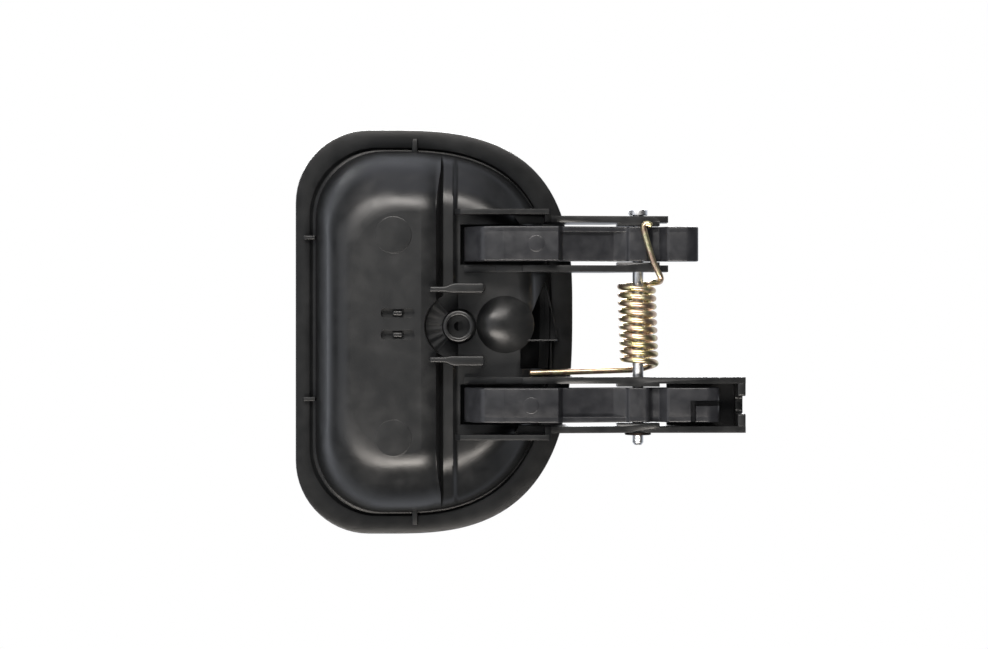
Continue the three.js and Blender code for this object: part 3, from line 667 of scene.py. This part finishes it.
# %% Openings in the shell
ARM_SIDE, ARM_TOP = ARM_LOW[2], ARM_HIGH[2]
BESIDE = 0.9                                  # room beside an arm in its window
WINDOW_BEFORE, WINDOW_LENGTH = 1.2, 26.6      # from the arm's root, along X
BEHIND = -40                                  # a Y well behind the shell, where cutters start
for up in (1, -1):
    low, high = sorted((up * (ARM_SIDE - BESIDE), up * (ARM_TOP + BESIDE)))
    cut(shell, block((ARM_LOW[0] - WINDOW_BEFORE, BEHIND, low), (ARM_LOW[0] + WINDOW_LENGTH, -0.5, high)))
stepped = [(33.4, 13.3), (31.4, 8.4), (25.9, -4.6), (25.9, -13.1), (35.2, -13.1), (35.2, -4.6), (37.3, -4.6)]
cut(shell, slab(stepped, 0.3, BEHIND, 1.0, 0.01, "Y", arc=3))
sill = slab([(25.7, -13.2), (36.4, -13.2), (37.4, -1.0), (37.4, 0.4), (33.0, 0.4)], 0.3,
            -4.85, -4.4, 0.1, "Z")
jamb = slab([(33.2, 13.3), (37.1, -4.6), (37.6, -4.6), (33.7, 13.3)], 0.1, -1.2, 0.5, 0.1, "Y", arc=3)
post = slab([(34.9, -13.4), (35.4, -13.4), (35.4, -4.6), (34.9, -4.6)], 0.1, -3.4, 0.5, 0.1, "Y", arc=3)
housing_piece("stepped_opening_edges", join(sill, jamb, post))
BOSS = np.array([7.8, 0.0, -0.5])
SCALLOP, SCALLOP_CUT, SCALLOP_FLOOR = 10.0, -13.02, -13.35     # radius, and two heights along Y
cut(shell, turned([(0, BEHIND), (SCALLOP, BEHIND), (SCALLOP, SCALLOP_CUT), (0, SCALLOP_CUT)], BOSS, "Y", 96))
for level in (3.3, -3.0):
    bow = [(-14.8, level + 1.65), (-9.9, level + 1.15), (-5.0, level + 1.65),
           (-5.0, level - 1.65), (-9.9, level - 1.15), (-14.8, level - 1.65)]
    cut(shell, slab(bow, (1.2, 3, 1.2, 1.2, 3, 1.2), BEHIND, CUP_BACK + 1.9, 0.01, "Y", arc=5))
shade(shell.data)
print("shell with its openings:", len(shell.data.polygons), "faces")

# %% Wall behind the scallop, nibs, bulge and ejector marks
# The wall is a sector of a ring: its floor, a little above the pocket's, has shallow flutes that fan out
# from the boss, y = floor + 0.07 cos(22 t) r / R.
half_turn = math.acos((BOSS[0] - SEAM - 0.2) / SCALLOP)
radii = np.linspace(4.0, SCALLOP - 0.4, 8)
liner = [(r, SCALLOP_FLOOR) for r in radii]
liner += [(SCALLOP, -13.8), (SCALLOP, CUP_BACK + 1.6), (SCALLOP + WALL, CUP_BACK + 1.6),
          (SCALLOP + WALL, -10.5), (4.0, -10.5)]
points, quads = turned(liner + liner[:1], BOSS, "Y", 90, (math.pi - half_turn, math.pi + half_turn))
angle = np.arctan2(points[:, 2] - BOSS[2], BOSS[0] - points[:, 0])
radius = np.hypot(points[:, 0] - BOSS[0], points[:, 2] - BOSS[2])
flutes = 0.07 * np.cos(22 * angle) * radius / SCALLOP
points[:, 1] += np.where(np.abs(points[:, 1] - SCALLOP_FLOOR) < 0.01, flutes, 0)
housing_piece("scallop_wall", (points, quads))
nibs = [slab([(-11.5, z - 0.8), (-8.3, z - 0.8), (-8.3, z + 0.8), (-11.5, z + 0.8)], 0.8, CUP_BACK + 0.5,
             CUP_BACK + 2.0, 0.5, "Y") for z in (3.3, -3.0)]
housing_piece("recess_nibs", join(*nibs))

# the bulge beside the boss is y = -h (1 - (r / R)^2), sheared so its top leans to the cup's side
BULGE, BULGE_R, BULGE_HIGH = np.array([21.4, POCKET_BACK, 0.0]), 8.6, 4.4
r = BULGE_R * np.cos(np.linspace(0, np.pi / 2, 22))
bulge = [(0.0, 1.0), (BULGE_R, 1.0)] + list(zip(r, -BULGE_HIGH * (1 - (r / BULGE_R) ** 2)))
points, quads = turned(bulge, BULGE + (0, 0.15, 0), "Y", 72)
points[:, 0] -= 2.4 * np.clip((POCKET_BACK - points[:, 1]) / BULGE_HIGH, 0, 1)
housing_piece("boss_side_bulge", (points, quads))


def ejector_mark(radius, height):
    """The profile of a pin mark: a plateau of this height with a soft edge."""
    return [(0.0, 0.3), (radius, 0.3), (radius, -0.2 * height), (radius - 0.15, -0.8 * height),
            (radius - 0.3, -height), (0.0, -height)]


# the cup's floor is first faced off by the marks' height, so that they end level with the CAD's floor
MARK_HIGH = 0.07
marks = [turned(ejector_mark(5.4, MARK_HIGH), (-11.2, CUP_BACK + MARK_HIGH, z), "Y", 72)
         for z in (26.1, -33.1)]
whole_back = [(LEFT, BOTTOM), (RIGHT, BOTTOM), (RIGHT, TOP), (LEFT, TOP)]
cut(shell, slab(whole_back, 1, CUP_BACK - 5, CUP_BACK + MARK_HIGH, 0.01, "Y"))
housing_piece("floor_ejector_marks", join(*marks))
print("escutcheon trimmed")

# %% [markdown]
# ## Channels, web, end wall, fins and ribs
# These plates are flat on the real part, so their CAD nodes already have the right shape. What a
# CAD solid lacks is the small round that every moulded edge has, and that round catches the light.

# %% Softened plates
plates = ["upper_outer_cheek", "upper_inner_cheek", "lower_outer_cheek", "lower_inner_cheek"]
for node in plates:
    softened(node, node + "_moulding", housing_black, "housing", 0.28)


# the web and the end wall run into the cheeks, as one moulding does
low, high = span("lower_channel_web")
web = slab([(low[0], low[1]), (high[0] + 0.6, low[1]), (high[0] + 0.6, high[1]), (low[0], high[1])], 0.4,
           low[2] - 0.5, high[2] + 0.5, 0.02, "Z")
housing_piece("lower_channel_web_moulding", web, "lower_channel_web")
low, high = span("cable_end_wall")
notch_low, notch_high, notch_floor = -26.15, -20.95, -9.0
outline = [(low[2] - 0.5, low[1]), (notch_low, low[1]), (notch_low, notch_floor), (notch_high, notch_floor),
           (notch_high, low[1]), (high[2] + 0.5, low[1]), (high[2] + 0.5, high[1]), (low[2] - 0.5, high[1])]
end_wall = slab([(y, z) for z, y in outline], (0.3, 0.5, 1.2, 1.2, 0.5, 0.3, 0.3, 0.3),
                low[0], high[0], 0.3, "X")
housing_piece("cable_end_wall_moulding", end_wall, "cable_end_wall")

# each fin is thin over the cup and widens, away from the middle, over the pocket
for up, node in ((1, "upper_guide_fin"), (-1, "lower_guide_fin")):
    low, high = span(node)
    near_z, far_z = sorted(abs(z) for z in (low[2], high[2]))
    outline = [(low[0], near_z + 0.3), (low[0] + 4.6, near_z + 0.3), (low[0] + 6.2, near_z),
               (high[0], near_z), (high[0], far_z), (low[0] + 7.0, far_z), (low[0] + 4.4, near_z + 1.9),
               (low[0], near_z + 1.9)]
    fin = slab([(x, up * z) for x, z in outline], (0.6, 2, 2, 0.9, 0.9, 2, 2, 0.6), low[1], -12.4, 0.4, "Y")
    housing_piece(node + "_moulding", fin, node)


# a strip closes the floor of each channel between the arm's window and the outer wall; this black sheet is
# painted shade, put where the outer wall shades the channel
floor_shade_strips = [slab([(22, up * 29.8), (34.4, up * 29.8), (34.4, up * 32.4), (22, up * 32.4)],
                     0.2, -9.4, -8.2, 0.1, "Y") for up in (1, -1)]
housing_piece("channel_floor_shade_strips", join(*floor_shade_strips))


def rib(node, grow):
    """A rim rib: a small rounded block round the middle of its CAD node."""
    low, high = span(node)
    low, high = low - grow, high + grow
    low[1], high[1] = -1.5, 0.6
    return slab([(low[0], low[1]), (high[0], low[1]), (high[0], high[1]), (low[0], high[1])], 0.3,
                low[2], high[2], 0.25, "Z")


for node, grow in (("rim_rib_left_upper", (0.3, 0, 0.15)), ("rim_rib_left_lower", (0.3, 0, 0.15)),
                   ("rim_rib_top", (0.4, 0, 0.8)), ("rim_rib_bottom", (0.4, 0, 0.8))):
    housing_piece(node + "_moulding", rib(node, np.array(grow)), node)

# %% Screw boss: a turned ring with a counterbore
low, high = span("screw_boss")
boss_top, boss_foot = low[1], high[1] + 0.5
ring = [(1.4, boss_foot), (5.3, boss_foot), (4.9, boss_foot - 0.7), (4.55, boss_top + 0.5),
        (4.4, boss_top + 0.12), (4.1, boss_top), (3.6, boss_top), (3.38, boss_top + 0.15),
        (3.3, boss_top + 0.5), (3.3, boss_top + 5.1), (1.4, boss_top + 5.1)]
housing_piece("screw_boss_ring", turned_ring(ring, BOSS, "Y", 72), "screw_boss")
print("plates, ribs and boss done")

# %% [markdown]
# ## The lever
# Each arm is a gooseneck: from the flap it goes back through its window, bends over and runs to the
# pin. Its side view is one outline with a radius at every corner, carried across the arm's width
# with rounded edges. A lower inner face beside a full-height rib gives the step that the arms show.


# %% Arms
def arm_outline(tail, sink):
    """The arm's side view. sink lowers its back between the gooseneck and the pin."""
    root, front, back = ARM_LOW[0], ARM_HIGH[1], ARM_LOW[1]
    x, y = PIVOT[0], PIVOT[1]
    goose = root + 27.5
    return [((root, front), 0.6), ((root, back + 7.6), 6.0), ((root + 5.2, back + 1.2), 3.5),
            ((root + 11.5, back + 0.15), 1.5), ((goose, back + 0.5), 0.35),
            ((goose + 1.2, back + 2.6 + sink), 0.5), ((x - 7.2, y - 3.5 + sink), 2.0),
            ((x - 3.6, y - 3.0), 1.2), ((x - 2.7, y - 3.8), 1.2), ((x + 2.7, y - 3.8), 1.4),
            ((x + 4.0, y - 0.9), 0.8), ((x + 6.2, y - 0.9), 0.8), ((x + 8.6, y - 3.3), 1.5),
            ((tail - 3.2, y - 3.4), 2.6), ((tail, y - 1.4), 2.0), ((tail, y + 3.8), 1.4),
            ((x - 4, y + 3.3), 3.0), ((goose + 7.1, back + 9.2), 3.0), ((goose - 2.9, back + 6.9), 3.0),
            ((root + 6.4, back + 6.6), 4.0), ((root + 6.4, front), 0.6)]


def arm_shapes(tail, up):
    """The arm's body with its sunk inner face, and the full-height rib beside it."""
    split = ARM_TOP - 1.7
    shapes = []
    for sink, low, high in ((1.3, ARM_SIDE, split + 0.4), (0.0, split, ARM_TOP)):
        points, radii = zip(*arm_outline(tail, sink))
        z0, z1 = sorted((up * low, up * high))
        shapes.append(slab(points, radii, z0, z1, 0.35, "Z", arc=9))
    return shapes


def pin_barrel(up):
    """A short cylinder round the pin, a little narrower than the arm, with rounded ends."""
    low, high = sorted((up * (ARM_SIDE + 0.05), up * (ARM_TOP - 0.05)))
    outline = [(0.0, low), (3.4, low), (3.8, low + 0.4), (3.8, high - 0.4), (3.4, high), (0.0, high)]
    return turned(outline, (PIVOT[0], PIVOT[1], 0), "Z", 48)


PIN_HOLE, BEYOND = 1.68, 60
NIPPLE_START, NIPPLE_SIDE, NIPPLE_WIDE = 8.7, -22.25, 1.6     # the L-groove: from the tail, Z, width
PIN_AXIS = (PIVOT[0], PIVOT[1], 0)
hole = turned([(0, -BEYOND), (PIN_HOLE, -BEYOND), (PIN_HOLE, BEYOND), (0, BEYOND)], PIN_AXIS, "Z", 48)
for up, node, x in ((1, "upper_lever_arm", 30.4), (-1, "lower_lever_arm", 28.8)):
    tail = span(node)[1][0]
    first, second = arm_shapes(tail, up)
    arm = piece(node + "_moulding", first, lever_nylon, "lever", [node])
    cut(arm, second, "UNION")
    cut(arm, pin_barrel(up), "UNION")
    cut(arm, hole)
    if up < 0:
        start, floor_y = tail - NIPPLE_START, PIVOT[1] + 1.2
        cut(arm, block((start, -BEYOND, -35), (start + NIPPLE_WIDE, floor_y, NIPPLE_SIDE)))
        cut(arm, block((start, -BEYOND, NIPPLE_SIDE - NIPPLE_WIDE), (tail + 3, floor_y, NIPPLE_SIDE)))
    shade(arm.data)
    mark = turned(ejector_mark(2.4, 0.1), (x, ARM_LOW[1] + 0.36, up * 23.55), "Y", 48)
    piece(node + "_ejector_mark", mark, lever_nylon, "lever")
    print(node, len(arm.data.polygons), "faces")

# %% [markdown]
# The flap closes the pocket from the street side. Its outline is the escutcheon's own, moved in, with a
# straight grip edge over the cup. Like the escutcheon it is one profile carried round: a domed face,
# a rounded edge, and the hollow behind it. A lip behind the grip edge stiffens it
# and gives the fingers something to hold.


# %% Flap
def flap_ring(inset, left_inset):
    """The flap's outline moved in by inset, cut off straight at its grip edge."""
    edge = FLAP_LOW[0] + left_inset
    reach = 7.8 + inset
    arc = pocket_ring(reach, reach, reach, edge)
    z = np.linspace(arc[-1, 1], arc[0, 1], 30)[1:-1]
    return np.concatenate([arc, np.stack([np.full(28, edge), z], 1)])


def flap_profile():
    """(inset, left inset, y): the face is y = front - dome * (1 - inset / 17)^2.4."""
    back, front = 2.0, FLAP_HIGH[1]
    dome = front - back - 0.9
    inset = np.concatenate([np.linspace(17, 3, 9), np.linspace(2.4, 0.6, 5)])
    face = [(i, 0.9 if i > 3 else 0.35 + 0.18 * i, front - dome * (1 - i / 17) ** 2.4) for i in inset]
    side = [(0.25, 0.2, back + 0.75), (0.0, 0.0, back + 0.45), (0.0, 0.0, back + 0.2), (0.2, 0.2, back)]
    inner = [(2.0, 2.0, back), (2.2, 2.2, back + 0.2), (2.2, 2.2, front - 3.4), (3.4, 2.4, front - 2.6),
             (6.0, 2.8, front - 2.25), (9.0, 3.4, front - 2.2)]
    return face + side + inner


rows = [np.insert(flap_ring(i, l), 1, y, axis=1) for i, l, y in flap_profile()]
poles = [np.broadcast_to(row.mean(0) * (1, 0, 1) + (0, row[0, 1], 0), row.shape)
         for row in (rows[0], rows[-1])]
flap_grid = np.array([poles[0]] + rows + [poles[1]])
skin = (flap_grid.reshape(-1, 3), grid_faces(len(flap_grid), flap_grid.shape[1], close_columns=True))
lip_x, lip_y = FLAP_LOW[0], FLAP_LOW[1]
lip = slab([(lip_x + 0.02, 2.6), (lip_x + 0.02, lip_y), (lip_x + 2.2, lip_y), (lip_x + 2.2, 2.6)],
           (0.3, 1.0, 1.0, 0.3), BOTTOM + 20, TOP - 20, 0.8, "Z")
flap = piece("pull_flap_moulding", skin, housing_black, "lever", ["pull_flap"])
piece("pull_flap_lip", lip, housing_black, "lever")
print("flap", len(flap.data.polygons), "faces")

# %% Flap stops: rubber studs, replaced by turned bumpers with a rounded head
for node in ("flap_stop_upper", "flap_stop_lower"):
    low, high = span(node)
    x, z = (low[0] + high[0]) / 2, (low[2] + high[2]) / 2
    foot = -7.6
    stud = [(0, foot), (1.0, foot), (2.0, foot), (2.2, foot + 3), (3.1, foot + 3.6), (3.1, high[1] - 1.2),
            (2.6, high[1] - 0.35), (1.6, high[1]), (0, high[1])]
    points, quads = turned(stud, (x, 0, z), "Y", 40)
    points[:, 1] += np.where(points[:, 1] < foot + 0.01, 0.6 * (np.abs(points[:, 2]) - abs(z)), 0)
    piece(node + "_bumper", (points, quads), stop_rubber, "housing", [node])

# %% [markdown]
# ## Pin, retainer and spring
# The pin is turned steel with a low head on top and a chamfered lower end. The retainer is a
# dished push-on ring. The spring is one wire: a straight leg that rests on the housing, ten turns
# round the pin, and a leg that bends over the upper arm and ends in a short hook.

# %% Pin and retainer
low, high = span("pivot_pin")
foot, head_top = low[2], high[2]
R = 1.6
pin = [(0, foot), (R - 0.55, foot), (R - 0.1, foot + 0.6), (R, foot + 0.8), (R, head_top - 1.75),
       (2.65, head_top - 1.75), (2.8, head_top - 1.6), (2.8, head_top - 0.35), (2.7, head_top - 0.1),
       (2.45, head_top), (0, head_top)]
piece("hinge_pin", turned(pin, PIN_AXIS, "Z", 64), zinc_pin, "housing", ["pivot_pin"])
low, high = span("pin_retainer")
dish = [(1.7, low[2] + 0.15), (2.6, low[2] + 0.05), (3.5, low[2]), (3.85, low[2] + 0.12), (3.9, low[2] + 0.3),
        (3.8, high[2] - 0.03), (3.4, high[2]), (2.4, high[2] - 0.02), (1.7, high[2] - 0.1)]
piece("pin_retainer_ring", turned_ring(dish, PIN_AXIS, "Z", 56), dark_steel, "housing",
      ["pin_retainer"])

# %% [markdown]
# The wire's line is a list of a few bends for each leg and a helix between them, smoothed together
# by a Catmull-Rom curve. A ring of points is then carried along it. The ring must not spin as it goes,
# so each frame is the one before it, tilted only as far as the line bends there.


# %% Wire along a line
def smooth_line(points, per_span):
    """Catmull-Rom: each span is the cubic through its two points with slopes half its neighbours' gap."""
    p = np.array(points, float)
    p = np.concatenate([[2 * p[0] - p[1]], p, [2 * p[-1] - p[-2]]])
    t = np.linspace(0, 1, per_span, endpoint=False)[None, :, None]
    a, b, c, d = (p[k:len(p) - 3 + k, None, :] for k in range(4))
    line = 0.5 * (2 * b + (c - a) * t + (2 * a - 5 * b + 4 * c - d) * t ** 2
                  + (3 * b - a - 3 * c + d) * t ** 3)
    return np.concatenate([line.reshape(-1, 3), p[-2:-1]])


def wire(line, radius, sides=14):
    """A ring carried along a line without twist, with rounded ends, and its UV: length along, share round."""
    tangent = np.gradient(line, axis=0)
    tangent /= np.linalg.norm(tangent, axis=1)[:, None]
    normal = np.empty_like(line)
    normal[0] = np.cross(tangent[0], (0, 0, 1))
    for k in range(1, len(line)):  # one step for each point of the line, not for each vertex
        lean = normal[k - 1] - tangent[k] * (normal[k - 1] @ tangent[k])
        normal[k] = lean / np.linalg.norm(lean)
    side = np.cross(tangent, normal)
    length = np.concatenate([[0], np.cumsum(np.linalg.norm(np.diff(line, axis=0), axis=1))])
    size = np.full(len(line), radius)
    cap = np.array([0.0, 0.45, 0.75, 0.93])
    size = np.concatenate([cap * radius, size, (cap * radius)[::-1]])
    stretch = radius * 0.5 * (1 - np.sqrt(1 - cap ** 2))
    lead = line[0] - tangent[0] * (radius * 0.5 - stretch[:, None])
    trail = line[-1] + tangent[-1] * (radius * 0.5 - stretch[:, None])
    line = np.concatenate([lead, line, trail[::-1]])
    normal = np.concatenate([np.repeat(normal[:1], 4, 0), normal, np.repeat(normal[-1:], 4, 0)])
    side = np.concatenate([np.repeat(side[:1], 4, 0), side, np.repeat(side[-1:], 4, 0)])
    length = np.concatenate([np.zeros(4), length, np.full(4, length[-1])])
    a = np.linspace(0, 2 * np.pi, sides, endpoint=False)
    ring = normal[:, None] * np.cos(a)[None, :, None] + side[:, None] * np.sin(a)[None, :, None]
    points = line[:, None] + ring * size[:, None, None]
    uv = np.stack(np.broadcast_arrays(length[:, None], a[None] / (2 * np.pi) * 6), -1)
    faces = grid_faces(len(line), sides, close_columns=True)
    return points.reshape(-1, 3), faces, uv.reshape(-1, 2)


# %% Spring
WIRE, COIL = 0.9, 4.8
CHEEK_IN = span("upper_inner_cheek")[0][2]
coil_length = 2 * (CHEEK_IN - 4.9)
TURNS, PER_TURN = 9, 16
pitch = coil_length / TURNS
count = int((TURNS + 1.25) * PER_TURN) + 1
share = np.arange(count) / PER_TURN
angle = np.pi / 2 - share * 2 * np.pi
coil_z = -coil_length / 2 - pitch / 2 + pitch * share
lean = -0.035 * coil_z
coil = np.stack([PIVOT[0] + COIL * np.cos(angle) + lean, PIVOT[1] + COIL * np.sin(angle), coil_z], 1)
coil[:, 2] -= 1.6 * np.clip(1 - share / 0.5, 0, 1) ** 2
top_z = coil_z[-1]
over = span("return_spring")[0][1] + WIRE - 0.1
rest_leg = [(28.9, -14.3, -14.25), (37.0, -12.9, -14.05), (46.0, -11.6, -13.8), (54.0, -10.6, -13.55)]
top_leg = [(66.4, -17.4, top_z + 0.25), (66.8, -18.9, top_z + 0.8), (66.6, over, top_z + 1.9),
           (64.7, over, 18.1), (62.9, over, 23.9), (61.8, over, 28.0), (62.1, over, 29.05),
           (62.9, over, 29.35), (63.9, over, 28.9)]
line = smooth_line(rest_leg + coil.tolist() + top_leg, 3)
points, quads, along = wire(line, WIRE)
spring = piece("torsion_spring", (points, quads), spring_gold, None,
               ["return_spring"], uv=along)
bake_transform(spring)
print("wire length", round(float(np.linalg.norm(np.diff(line, axis=0), axis=1).sum())), "mm")
